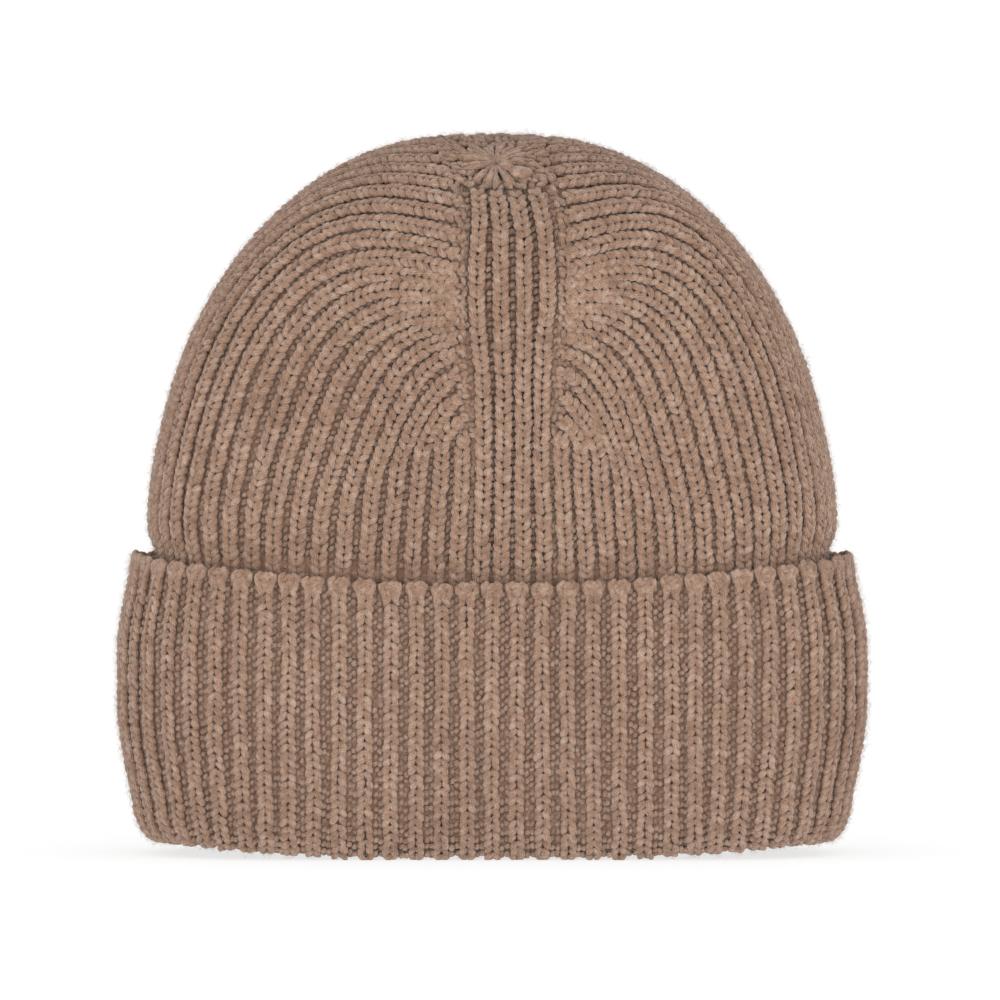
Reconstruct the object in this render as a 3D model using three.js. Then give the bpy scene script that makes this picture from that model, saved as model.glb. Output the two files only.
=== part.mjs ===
// A ribbed-knit beanie with a turned-up cuff, standing on the fold of its brim.
// Millimetres, +Z up, front towards -Y. The origin is on the floor under the middle of the hat.
//
// The hat is a flattened, rounded tube of knitted fabric. Its outline, seen from the front, is
// swept with one section: at every place along the outline the fabric curves the same way from
// the side of the hat round to its front or back face. A place on the hat is therefore given by
// how far along the outline it lies, how far round the section, and how deep into the fabric.
import * as THREE from 'three';

// Driving dimensions.
const HEIGHT = 210;
const HALF_WIDTH = 101.4;          // of the body, above the cuff
const HALF_DEPTH = 40;             // of the body, above the cuff
const SIDE_ROUNDING = 47;          // how far in from the side the face becomes flat
const SECTION_POWER = 2.4;         // 2 would be an ellipse, more is squarer
const CROWN_BASE = 98;             // height at which the outline starts to curve in
const CROWN_WIDTH_POWER = 2.42;    // of the outline: squarer than an ellipse at the top
const CROWN_HEIGHT_POWER = 1.77;   // and less square where it leaves the body
const FABRIC = 4.2;                // thickness of the rib knit
const GAP = 0.45;                  // left between neighbouring pieces

const BAND_HALF_WIDTH = 12.6;      // four ribs run straight up to the gather between the gores
const GATHER_HALF_LENGTH = 7;      // of the drawn-in middle of the crown, front to back
const PUCKER_DEPTH = 1.6;          // how far its middle is drawn in
const PUCKER_SPREAD = 3.5;         // how far out from the middle the pucker dies out
const YARN_RADIUS = 1.1;

const CUFF_TOP_AT_SIDES = 89;
const CUFF_SAG = 7.5;              // how much lower the cuff's edge is at the front and back
const CUFF_BULGE = 8.8;            // how far the cuff stands out past the body, halfway up
const CUFF_IN_BELOW = 5.8;         // how far it is drawn in again by the fold
const CUFF_IN_ABOVE = 4.8;         // how far it is drawn in again by its edge
const BODY_IN_UNDER_CUFF = 1.3;    // how far the cuff presses the body in
const BODY_IN_AT_FOLD = 3;         // and how much further the fold draws it in

const EDGE_HEIGHT = 3;             // of the cast-on edge that finishes the cuff
const EDGE_BEAD_HEIGHT = 1.6;      // up to the middle of its rounded bead
const EDGE_BEAD = 0.5;             // how far the bead stands out past the cuff
const EDGE_ROUNDING = 0.9;         // how far its top is rounded in

const FOLD_TOP = 14;               // the brim fold reaches this high
const FOLD_POWER = 1.6;            // of the fold's outer corner; 2 would be an ellipse
const FOLD_FLATTENING = 1.05;      // above 1, the fold has a flat face to stand on
const FOLD_LIFT = 4.4;             // how far the fold curves up from the floor at the sides
const FOLD_LEVEL_HALF = 30;        // it lies level this far to each side of the middle

// The crown leans a little towards the front, so the gathered point faces forwards.
const LEAN_ANGLE = THREE.MathUtils.degToRad(38);
const LEAN_AXIS_HEIGHT = HEIGHT - 42;
const LEAN_START = HEIGHT - 70;
const LEAN_SPREAD = 46;            // how far to each side of the middle the lean dies out

// The front band lies a little to the right of the middle, and leans back to it at the gather.
const CENTRE_SHIFT = 6;
const SHIFT_FROM = 14;             // behind the middle of the hat's depth
const SHIFT_FULL_AT = -26;         // in front of it

// How finely the solids are faceted.
const RING_STEPS = 60;
const GORE_ROWS = 16;
const GORE_STEPS = 28;
const BAND_ROWS = 26;
const BAND_STEPS = 4;
const GATHER_COLUMNS = 8;
const GATHER_ROWS = 6;
const YARN_STEPS = 10;
const YARN_SIDES = 4;

const taupe = (r, g, b) => new THREE.MeshStandardMaterial({
  color: new THREE.Color().setRGB(r / 255, g / 255, b / 255, THREE.SRGBColorSpace),
  roughness: 0.95,
  metalness: 0,
});

// --- The outline and the section ------------------------------------------------------------

// A curve resampled by length: the points and unit tangents of a smooth function of 0 to 1.
function byLength(curve, samples = 600) {
  const points = Array.from({ length: samples + 1 }, (_, i) => curve(i / samples));
  const reached = [0];
  for (let i = 1; i <= samples; i++) reached.push(reached[i - 1] + points[i].distanceTo(points[i - 1]));
  const length = reached[samples];
  const point = (s) => {
    const wanted = THREE.MathUtils.clamp(s, 0, length);
    let i = 1;
    while (i < samples && reached[i] < wanted) i++;
    const share = (wanted - reached[i - 1]) / (reached[i] - reached[i - 1]);
    return points[i - 1].clone().lerp(points[i], share);
  };
  const tangent = (s) => {
    const reach = THREE.MathUtils.clamp(s, 0.05, 0.8);
    const from = point(Math.max(0, s - reach));
    return point(Math.min(length, s + reach)).sub(from).normalize();
  };
  return { length, point, tangent };
}

// The crown's outline on the +X side, from the top of the body up to the middle of the crown.
const outline = byLength((k) => {
  const angle = k * Math.PI / 2;
  return new THREE.Vector2(
    HALF_WIDTH * Math.cos(angle) ** (2 / CROWN_WIDTH_POWER),
    CROWN_BASE + (HEIGHT - CROWN_BASE) * Math.sin(angle) ** (2 / CROWN_HEIGHT_POWER),
  );
});

// The rounded part of the section: x is the way in from the side, y the way out to the face.
const rounding = byLength((k) => {
  const angle = k * Math.PI / 2;
  return new THREE.Vector2(
    SIDE_ROUNDING * (1 - Math.cos(angle) ** (2 / SECTION_POWER)),
    HALF_DEPTH * Math.sin(angle) ** (2 / SECTION_POWER),
  );
});

// A point of the section, `round` mm from the side's middle line and `deep` mm into the fabric.
// A negative `round` is on the back. The result's x is the way in, its y the way to the back.
function section(round, deep) {
  const distance = Math.abs(round);
  const face = round < 0 ? 1 : -1;
  if (distance >= rounding.length) {
    const inward = SIDE_ROUNDING + distance - rounding.length;
    return new THREE.Vector2(inward, face * (HALF_DEPTH - deep));
  }
  const at = rounding.point(distance);
  const along = distance < 1e-6 ? new THREE.Vector2(0, 1) : rounding.tangent(distance);
  return new THREE.Vector2(at.x + deep * along.y, face * (at.y - deep * along.x));
}

const smooth = (value, start, end) => THREE.MathUtils.smoothstep(value, start, end);

// Turns the top of the crown towards the front, and moves its front band to the right.
function lean(point) {
  const share = smooth(point.z, LEAN_START, HEIGHT - 8) * Math.exp(-((point.x / LEAN_SPREAD) ** 2));
  const axis = new THREE.Vector3(0, 0, LEAN_AXIS_HEIGHT);
  const turned = point.clone().sub(axis);
  turned.applyAxisAngle(new THREE.Vector3(1, 0, 0), LEAN_ANGLE * share);
  const shift = CENTRE_SHIFT * (1 - smooth(point.y, SHIFT_FULL_AT, SHIFT_FROM));
  turned.x += shift * Math.max(0, 1 - (point.x / HALF_WIDTH) ** 2) ** 2;
  return turned.add(axis);
}

// A point of the crown: `along` the outline, `round` the section, `deep` in the fabric.
function crownPoint(side, along, round, deep) {
  const edge = outline.point(along);
  const up = outline.tangent(along);
  const across = section(round, deep);
  return lean(new THREE.Vector3(
    side * (edge.x - up.y * across.x),
    across.y,
    edge.y + up.x * across.x,
  ));
}

// --- Closed solids ---------------------------------------------------------------------------

function meshOf(name, material, positions, triangles) {
  const coordinates = positions.flatMap((point) => point.toArray());
  const geometry = new THREE.BufferGeometry();
  geometry.setAttribute('position', new THREE.Float32BufferAttribute(coordinates, 3));
  geometry.setIndex(triangles);
  if (volumeOf(positions, triangles) < 0) {
    geometry.setIndex(triangles.map((_, i) => triangles[i - (i % 3) + [0, 2, 1][i % 3]]));
  }
  geometry.computeVertexNormals();
  const mesh = new THREE.Mesh(geometry, material);
  mesh.name = name;
  return mesh;
}

function volumeOf(positions, triangles) {
  let sum = 0;
  for (let i = 0; i < triangles.length; i += 3) {
    const [a, b, c] = [0, 1, 2].map((k) => positions[triangles[i + k]]);
    sum += a.dot(new THREE.Vector3().crossVectors(b, c));
  }
  return sum / 6;
}

// A ring: `profile(round)` gives the closed outline of its cross-section, as [deep, height]
// pairs, at each place round the hat, and `finish` moves each point to its last place.
function ring(name, material, profile, finish = (point) => point) {
  const faceHalf = rounding.length + HALF_WIDTH - SIDE_ROUNDING;
  const positions = [];
  let count = 0;
  for (let i = 0; i < RING_STEPS; i++) {
    const quarter = RING_STEPS / 4;
    const side = i < 2 * quarter ? 1 : -1;
    const k = (i % (2 * quarter)) / quarter - 1;
    const round = side * k * faceHalf;
    const outlineHere = profile(round);
    count = outlineHere.length;
    for (const [deep, height] of outlineHere) {
      const across = section(round, deep);
      positions.push(finish(new THREE.Vector3(side * (HALF_WIDTH - across.x), across.y, height)));
    }
  }
  const triangles = [];
  for (let i = 0; i < RING_STEPS; i++) {
    const next = (i + 1) % RING_STEPS;
    for (let j = 0; j < count; j++) {
      const over = (j + 1) % count;
      triangles.push(i * count + j, next * count + j, next * count + over);
      triangles.push(i * count + j, next * count + over, i * count + over);
    }
  }
  return meshOf(name, material, positions, triangles);
}

// A slab of fabric: `place(u, v, deep)` maps the unit square to the outer and inner faces.
function slab(name, material, columns, rows, place) {
  const positions = [];
  const index = (layer, i, j) => (layer * (rows + 1) + j) * (columns + 1) + i;
  for (const deep of [0, FABRIC]) {
    for (let j = 0; j <= rows; j++) {
      for (let i = 0; i <= columns; i++) positions.push(place(i / columns, j / rows, deep));
    }
  }
  const triangles = [];
  const quad = (a, b, c, d) => triangles.push(a, b, c, a, c, d);
  for (let j = 0; j < rows; j++) {
    for (let i = 0; i < columns; i++) {
      quad(index(0, i, j), index(0, i + 1, j), index(0, i + 1, j + 1), index(0, i, j + 1));
      quad(index(1, i, j), index(1, i, j + 1), index(1, i + 1, j + 1), index(1, i + 1, j));
    }
  }
  for (let i = 0; i < columns; i++) {
    quad(index(0, i, 0), index(1, i, 0), index(1, i + 1, 0), index(0, i + 1, 0));
    quad(index(0, i, rows), index(0, i + 1, rows), index(1, i + 1, rows), index(1, i, rows));
  }
  for (let j = 0; j < rows; j++) {
    quad(index(0, 0, j), index(0, 0, j + 1), index(1, 0, j + 1), index(1, 0, j));
    quad(index(0, columns, j), index(1, columns, j), index(1, columns, j + 1), index(0, columns, j + 1));
  }
  return meshOf(name, material, positions, triangles);
}

// --- The brim and the body -------------------------------------------------------------------

// How far the outer face of the body lies inside the full width, from the fold upwards.
function bodyInset(height) {
  const underCuff = BODY_IN_UNDER_CUFF * (1 - smooth(height, CUFF_TOP_AT_SIDES, CROWN_BASE));
  const atFold = BODY_IN_AT_FOLD * (1 - smooth(height, FOLD_TOP, FOLD_TOP + 20));
  return underCuff + atFold;
}

// The outer face of the cuff, as an inset from the body's full width, so it is negative.
function cuffInset(height) {
  const drawnInBelow = CUFF_IN_BELOW * (1 - smooth(height, 2, CUFF_TOP_AT_SIDES / 2));
  const drawnInAbove = CUFF_IN_ABOVE * smooth(height, 60, CUFF_TOP_AT_SIDES + 4);
  return -CUFF_BULGE + drawnInBelow + drawnInAbove;
}

// The cuff's edge hangs lower in the middle of the front and the back.
function cuffTop(round) {
  const across = (HALF_WIDTH - section(round, 0).x) / HALF_WIDTH;
  return CUFF_TOP_AT_SIDES - CUFF_SAG * (1 - across ** 2);
}

function steps(from, to, count) {
  return Array.from({ length: count + 1 }, (_, i) => from + (to - from) * i / count);
}

// The outer and inner faces of a wall of fabric, joined into one closed outline.
function wall(bottom, top, count, inset) {
  const outer = steps(bottom, top, count).map((height) => [inset(height), height]);
  const inner = steps(top, bottom, count).map((height) => [inset(height) + FABRIC, height]);
  return [...outer, ...inner];
}

function bodyTube() {
  const profile = () => wall(FOLD_TOP + GAP, CROWN_BASE - GAP, 5, bodyInset);
  return ring('body_tube', taupe(147, 119, 101), profile, lean);
}

function cuffTube() {
  const profile = (round) => wall(FOLD_TOP + GAP, cuffTop(round) - EDGE_HEIGHT - GAP, 6, cuffInset);
  return ring('turned_up_cuff', taupe(150, 122, 104), profile);
}

// Lifts the fold off the floor towards the sides, without moving its top edge.
function liftSides(point) {
  const share = smooth(Math.abs(point.x), FOLD_LEVEL_HALF, HALF_WIDTH + CUFF_BULGE);
  point.z += FOLD_LIFT * share * (1 - point.z / FOLD_TOP);
  return point;
}

// The fold: both layers turn into each other in a U, pressed flat underneath where the hat stands.
function brimFold() {
  const outside = cuffInset(FOLD_TOP);
  const inside = bodyInset(FOLD_TOP) + FABRIC;
  const middle = (outside + inside) / 2;
  const halfWidth = (inside - outside) / 2;
  const bend = (half, depth, count) => steps(-Math.PI / 2, Math.PI / 2, count).map((angle) => {
    const power = angle < 0 ? FOLD_POWER : 2;
    const across = Math.sign(angle) * Math.abs(Math.sin(angle)) ** (2 / power);
    const down = Math.min(1, FOLD_FLATTENING * Math.abs(Math.cos(angle)) ** (2 / power));
    return [middle + half * across, FOLD_TOP - depth * down];
  });
  const outer = bend(halfWidth, FOLD_TOP, 9);
  const inner = bend(halfWidth - FABRIC, FOLD_TOP - FABRIC, 3).reverse();
  return ring('brim_fold', taupe(143, 115, 97), () => [...outer, ...inner], liftSides);
}

function castOnEdge() {
  const profile = (round) => {
    const bottom = cuffTop(round) - EDGE_HEIGHT;
    const outside = cuffInset(bottom);
    const inside = outside + FABRIC;
    return [
      [outside - EDGE_BEAD, bottom],
      [outside - EDGE_BEAD, bottom + EDGE_BEAD_HEIGHT],
      [outside + EDGE_ROUNDING, bottom + EDGE_HEIGHT],
      [inside - EDGE_ROUNDING, bottom + EDGE_HEIGHT],
      [inside, bottom + EDGE_BEAD_HEIGHT],
      [inside, bottom],
    ];
  };
  return ring('cast_on_edge', taupe(156, 128, 110), profile);
}

// --- The crown -------------------------------------------------------------------------------

// How far round the section the gore reaches before it meets the band, at a place on the outline.
function reachOfGore(along) {
  const edge = outline.point(along);
  const up = outline.tangent(along);
  const inward = Math.max(0, (edge.x - BAND_HALF_WIDTH - GAP) / Math.max(up.y, 1e-3));
  if (inward >= SIDE_ROUNDING) return rounding.length + inward - SIDE_ROUNDING;
  let [low, high] = [0, rounding.length];
  for (let i = 0; i < 40; i++) {
    const tried = (low + high) / 2;
    if (rounding.point(tried).x < inward) low = tried; else high = tried;
  }
  return low;
}

function crownGore(name, side) {
  const last = outline.length - BAND_HALF_WIDTH - 2 * GAP;
  return slab(name, taupe(147, 119, 101), GORE_STEPS, GORE_ROWS, (u, v, deep) => {
    const along = last * (1 - (1 - v) ** 1.25);
    const round = reachOfGore(along) * (2 * u - 1);
    return crownPoint(side, along, round, deep);
  });
}

// The place on the outline from which the inward direction, followed for `inward` mm, meets x.
function outlineUnder(x, inward) {
  let [low, high] = [outline.length / 2, outline.length];
  for (let i = 0; i < 40; i++) {
    const tried = (low + high) / 2;
    if (outline.point(tried).x - outline.tangent(tried).y * inward > x) low = tried; else high = tried;
  }
  return low;
}

// A point of the band or the gather, x mm from the middle. `down` is how far it lies from the
// top, measured down the back if positive and down the front if negative.
function bandPoint(x, down, deep) {
  const across = section(-down, deep);
  const inward = section(-down, 0).x;
  if (inward > SIDE_ROUNDING) return lean(new THREE.Vector3(x, across.y, HEIGHT - inward));
  return crownPoint(Math.sign(x) || 1, outlineUnder(Math.abs(x), inward), -down, deep);
}

function crownBand(name, face) {
  const nearest = GATHER_HALF_LENGTH + GAP;
  const furthest = rounding.length + HEIGHT - SIDE_ROUNDING - CROWN_BASE;
  return slab(name, taupe(149, 121, 103), BAND_STEPS, BAND_ROWS, (u, v, deep) => {
    const down = nearest + (furthest - nearest) * v;
    return bandPoint(BAND_HALF_WIDTH * (2 * u - 1), face * down, deep);
  });
}

// The last stitches, drawn together so that their middle is puckered in.
function crownGather() {
  return slab('crown_gather', taupe(137, 109, 92), GATHER_COLUMNS, GATHER_ROWS, (u, v, deep) => {
    const x = BAND_HALF_WIDTH * (2 * u - 1);
    const down = GATHER_HALF_LENGTH * (2 * v - 1);
    const pucker = PUCKER_DEPTH * Math.exp(-(x ** 2 + down ** 2) / PUCKER_SPREAD ** 2);
    return bandPoint(x, down, deep + pucker);
  });
}

// The fastened end of the yarn that closes the crown, lying over the gather.
function closingYarn() {
  const clear = -(YARN_RADIUS + GAP);
  const path = new THREE.CatmullRomCurve3(
    [[-2, -3.4], [1, -3.8], [4, -1.6], [6.4, 1.4]].map(([x, down]) => bandPoint(x, down, clear)),
  );
  const circle = new THREE.Shape().absarc(0, 0, YARN_RADIUS, 0, 2 * Math.PI);
  const geometry = new THREE.ExtrudeGeometry(circle, {
    steps: YARN_STEPS,
    curveSegments: YARN_SIDES,
    extrudePath: path,
  });
  const mesh = new THREE.Mesh(geometry, taupe(158, 130, 112));
  mesh.name = 'closing_yarn';
  return mesh;
}

const hat = new THREE.Group();
hat.add(bodyTube(), brimFold(), cuffTube(), castOnEdge());
hat.add(crownGore('crown_gore_right', 1), crownGore('crown_gore_left', -1));
hat.add(crownBand('crown_band_front', -1), crownBand('crown_band_back', 1));
hat.add(crownGather(), closingYarn());

export default hat;
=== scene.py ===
"""A ribbed-knit beanie with a turned-up cuff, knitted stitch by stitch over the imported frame.

The CAD solids give the place and size of every section of the fabric. Each is replaced by a thin
core of fabric with the stitches lying on it: every knit stitch is a V of two plump legs of yarn,
and the hollows between the ribs hold the bumps of the purl stitches. Lengths are in millimetres
until a mesh is made, and a place on the hat is given as in the CAD: how far along the outline
it lies, how far round the section, and how deep into the fabric.
"""

import math

import bpy
import numpy as np
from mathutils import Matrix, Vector


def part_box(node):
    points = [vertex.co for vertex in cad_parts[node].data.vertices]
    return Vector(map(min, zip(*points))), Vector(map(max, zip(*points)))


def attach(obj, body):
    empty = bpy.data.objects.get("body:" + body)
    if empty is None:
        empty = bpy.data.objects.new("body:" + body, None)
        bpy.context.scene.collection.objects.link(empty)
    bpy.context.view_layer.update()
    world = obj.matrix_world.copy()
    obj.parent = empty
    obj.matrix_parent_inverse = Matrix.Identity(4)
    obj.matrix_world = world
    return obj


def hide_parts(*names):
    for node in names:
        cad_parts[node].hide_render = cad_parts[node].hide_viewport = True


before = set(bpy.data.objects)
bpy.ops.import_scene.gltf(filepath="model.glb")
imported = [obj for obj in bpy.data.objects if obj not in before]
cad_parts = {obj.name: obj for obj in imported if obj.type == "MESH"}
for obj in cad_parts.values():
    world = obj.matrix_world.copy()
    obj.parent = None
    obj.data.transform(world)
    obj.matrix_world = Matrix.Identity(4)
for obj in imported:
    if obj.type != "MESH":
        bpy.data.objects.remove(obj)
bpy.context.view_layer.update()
MM = 0.001
draw = np.random.default_rng(7)


def box_mm(node):
    low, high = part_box(node)
    return np.array(low) / MM, np.array(high) / MM


# --- Dimensions, from the frame where a CAD solid gives them -----------------------------------

BODY_LOW, BODY_HIGH = box_mm("body_tube")
HALF_WIDTH = BODY_HIGH[0]
HALF_DEPTH = BODY_HIGH[1]
GAP = 0.45
CROWN_BASE = BODY_HIGH[2] + GAP
FOLD_TOP = BODY_LOW[2] - GAP
HEIGHT = 210.0
FABRIC = 4.2
SIDE_ROUNDING = 47.0
SECTION_POWER = 2.4
CROWN_WIDTH_POWER = 2.42
CROWN_HEIGHT_POWER = 1.77
BAND_HALF_WIDTH = 12.6
CUFF_TOP_AT_SIDES = 89.0
CUFF_SAG = 7.5
CUFF_BULGE = 8.8
CUFF_IN_BELOW = 5.8
CUFF_IN_ABOVE = 4.8
BODY_IN_UNDER_CUFF = 1.3
BODY_IN_AT_FOLD = 3.0
FOLD_POWER = 1.6
FOLD_FLATTENING = 1.05
FOLD_LIFT = 4.4
FOLD_LEVEL_HALF = 30.0
BRIM_TOP_INSIDE = 26.0  # the brim's core and stitches end at this height inside
LEAN_ANGLE = math.radians(38)
LEAN_AXIS_HEIGHT = HEIGHT - 42
LEAN_START = HEIGHT - 70
LEAN_SPREAD = 46.0
CENTRE_SHIFT = 6.0
SHIFT_FROM = 14.0
SHIFT_FULL_AT = -26.0

ROW = 2.25  # from one stitch of a rib to the next
BODY_OVERLAP = 12.0  # the body's stitches begin this far below the cuff's edge
KNIT_DEEP = 1.15  # the middles of the knit stitches lie this deep
BAND_KNIT_DEEP = 1.0
BODY_PURL_DEEP = 2.75
BAND_PURL_DEEP = 2.7
CUFF_PURL_DEEP, FOLD_PURL_DEEP = 2.6, 1.5
QUARTER_RIBS = 18  # ribs of a gore, from the side's middle line to the band
BAND_PITCH = BAND_HALF_WIDTH / 2
CUFF_PITCH = 7.2  # from rib to rib at the middle of the cuff's front
CORE_DEEP = 2.5  # the core of the fabric lies this deep under the stitches
RIB_RISE = 24.0  # the ribs beside the band run straight this far above the crown's base
PINCH, PINCH_HEIGHT = 0.11, 121.0  # the hat is drawn in by this share, where the band's seams begin
PINCH_REACH, PINCH_WIDTH = 24.0, 58.0
EDGE_TUCK = 1.2  # the body's stitches go in behind the cuff's edge by this much
GATHER_DOWN = 3.0  # the gathered point lies this far behind the top of the hat


# --- The shape of the hat ----------------------------------------------------------------------


class Curve:
    """A plane curve resampled by length, with its unit tangents."""

    def __init__(self, first, second):
        steps = np.hypot(np.diff(first), np.diff(second))
        reach = np.concatenate([[0], np.cumsum(steps)])
        self.length = reach[-1]
        self.even = np.linspace(0, self.length, 900)
        self.first = np.interp(self.even, reach, first)
        self.second = np.interp(self.even, reach, second)
        slope_a, slope_b = np.gradient(self.first), np.gradient(self.second)
        size = np.hypot(slope_a, slope_b)
        self.slope_a, self.slope_b = slope_a / size, slope_b / size

    def at(self, s):
        return np.interp(s, self.even, self.first), np.interp(s, self.even, self.second)

    def tangent(self, s):
        return np.interp(s, self.even, self.slope_a), np.interp(s, self.even, self.slope_b)


quarter_turn = np.linspace(0, math.pi / 2, 4000)
outline = Curve(
    HALF_WIDTH * np.cos(quarter_turn).clip(0) ** (2 / CROWN_WIDTH_POWER),
    CROWN_BASE + (HEIGHT - CROWN_BASE) * np.sin(quarter_turn) ** (2 / CROWN_HEIGHT_POWER),
)
rounding = Curve(
    SIDE_ROUNDING * (1 - np.cos(quarter_turn).clip(0) ** (2 / SECTION_POWER)),
    HALF_DEPTH * np.sin(quarter_turn) ** (2 / SECTION_POWER),
)
FACE_HALF = rounding.length + HALF_WIDTH - SIDE_ROUNDING


def smooth(value, start, end):
    share = np.clip((np.asarray(value, float) - start) / (end - start), 0, 1)
    return share * share * (3 - 2 * share)


def section(around, deep):
    """The way in from the side and the way to the back, for a place round the section."""
    distance = np.abs(around)
    face = np.where(np.asarray(around) < 0, 1.0, -1.0)
    at_in, at_out = rounding.at(distance)
    slope_in, slope_out = rounding.tangent(distance)
    flat = distance >= rounding.length
    inward = np.where(flat, SIDE_ROUNDING + distance - rounding.length, at_in + deep * slope_out)
    out = np.where(flat, HALF_DEPTH - deep, at_out - deep * slope_in)
    return inward, face * out


def finish_shape(points):
    """Turns the top of the crown towards the front, and moves its front band to the right."""
    x, y, z = points[..., 0], points[..., 1], points[..., 2]
    share = smooth(z, LEAN_START, HEIGHT - 8) * np.exp(-((x / LEAN_SPREAD) ** 2))
    angle = LEAN_ANGLE * share
    up = z - LEAN_AXIS_HEIGHT
    turned_y = y * np.cos(angle) - up * np.sin(angle)
    turned_z = y * np.sin(angle) + up * np.cos(angle) + LEAN_AXIS_HEIGHT
    shift = CENTRE_SHIFT * (1 - smooth(y, SHIFT_FULL_AT, SHIFT_FROM))
    off_centre = np.clip(1 - (x / HALF_WIDTH) ** 2, 0, 1) ** 2
    pinch = PINCH * np.exp(-(((z - PINCH_HEIGHT) / PINCH_REACH) ** 2) - (x / PINCH_WIDTH) ** 2)
    return np.stack([x * (1 - pinch) + shift * off_centre, turned_y, turned_z], axis=-1)


def body_inset(height):
    under_cuff = BODY_IN_UNDER_CUFF * (1 - smooth(height, CUFF_TOP_AT_SIDES, CROWN_BASE))
    return under_cuff + BODY_IN_AT_FOLD * (1 - smooth(height, FOLD_TOP, FOLD_TOP + 20))


def cuff_inset(height):
    below = CUFF_IN_BELOW * (1 - smooth(height, 2, CUFF_TOP_AT_SIDES / 2))
    return below + CUFF_IN_ABOVE * smooth(height, 60, CUFF_TOP_AT_SIDES + 4) - CUFF_BULGE


def cuff_top(around):
    across = (HALF_WIDTH - section(around, 0)[0]) / HALF_WIDTH
    return CUFF_TOP_AT_SIDES - CUFF_SAG * (1 - across**2)


def rise(inward, height):
    """How far a rib of the flat face is moved up, so that it runs straight before it turns in."""
    full = RIB_RISE * smooth(inward, SIDE_ROUNDING, HALF_WIDTH - BAND_HALF_WIDTH - BAND_PITCH / 2)
    room = np.maximum(HEIGHT - inward - CROWN_BASE, RIB_RISE)
    above = 1 - np.clip((height - CROWN_BASE) / room, 0, 1)
    return full * np.where(height < CROWN_BASE, smooth(height, CROWN_BASE - 30, CROWN_BASE), above)


def hat_point(side, along, around, deep):
    """A point of the body or crown. `along` is counted from the crown's base."""
    along, around, deep = np.broadcast_arrays(
        np.asarray(along, float), np.asarray(around, float), np.asarray(deep, float)
    )
    edge_x, edge_z = outline.at(np.maximum(along, 0))
    up_x, up_z = outline.tangent(np.maximum(along, 0))
    below = along < 0
    up_x, up_z = np.where(below, 0, up_x), np.where(below, 1, up_z)
    edge_z = np.where(below, CROWN_BASE + along, edge_z)
    level = section(around, 0)[0]
    raised = rise(level, edge_z + up_x * level)
    height = edge_z + up_x * level + raised
    inward, y = section(around, deep + np.where(below, body_inset(height), 0))
    return finish_shape(
        np.stack([side * (edge_x - up_z * inward), y, edge_z + up_x * inward + raised], axis=-1)
    )


def ring_point(side, around, deep, height):
    """A point of the brim, at a height. The fold is lifted off the floor towards the sides."""
    inward, y = section(around, deep)
    x = side * (HALF_WIDTH - inward)
    share = smooth(np.abs(x), FOLD_LEVEL_HALF, HALF_WIDTH + CUFF_BULGE)
    lifted = height + FOLD_LIFT * share * np.clip(1 - height / FOLD_TOP, 0, 1)
    return np.stack(np.broadcast_arrays(x, y, lifted), axis=-1)


def along_at(x, inward):
    """The place on the outline whose inward direction, followed for `inward` mm, meets x."""
    low, high = outline.length / 2, outline.length
    for _ in range(40):
        tried = (low + high) / 2
        if outline.at(tried)[0] - outline.tangent(tried)[1] * inward > x:
            low = tried
        else:
            high = tried
    return low


def band_point(x, down, deep):
    """A point of the band, `down` mm from the top: down the back if positive, else the front."""
    inward = float(section(-down, 0)[0])
    if inward > SIDE_ROUNDING:
        height = HEIGHT - inward
        y = float(section(-down, deep + float(body_inset(height)))[1])
        return finish_shape(np.array([x, y, height]))
    return hat_point(1.0 if x >= 0 else -1.0, along_at(abs(x), inward), -down, deep)


def band_x(place, down):
    """The band is narrowest at the gather, and widest a third of the way down."""
    return place * (0.88 + 0.21 * smooth(down, 8, 36) - 0.11 * smooth(down, 50, 95))


# --- Meshes ------------------------------------------------------------------------------------


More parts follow.
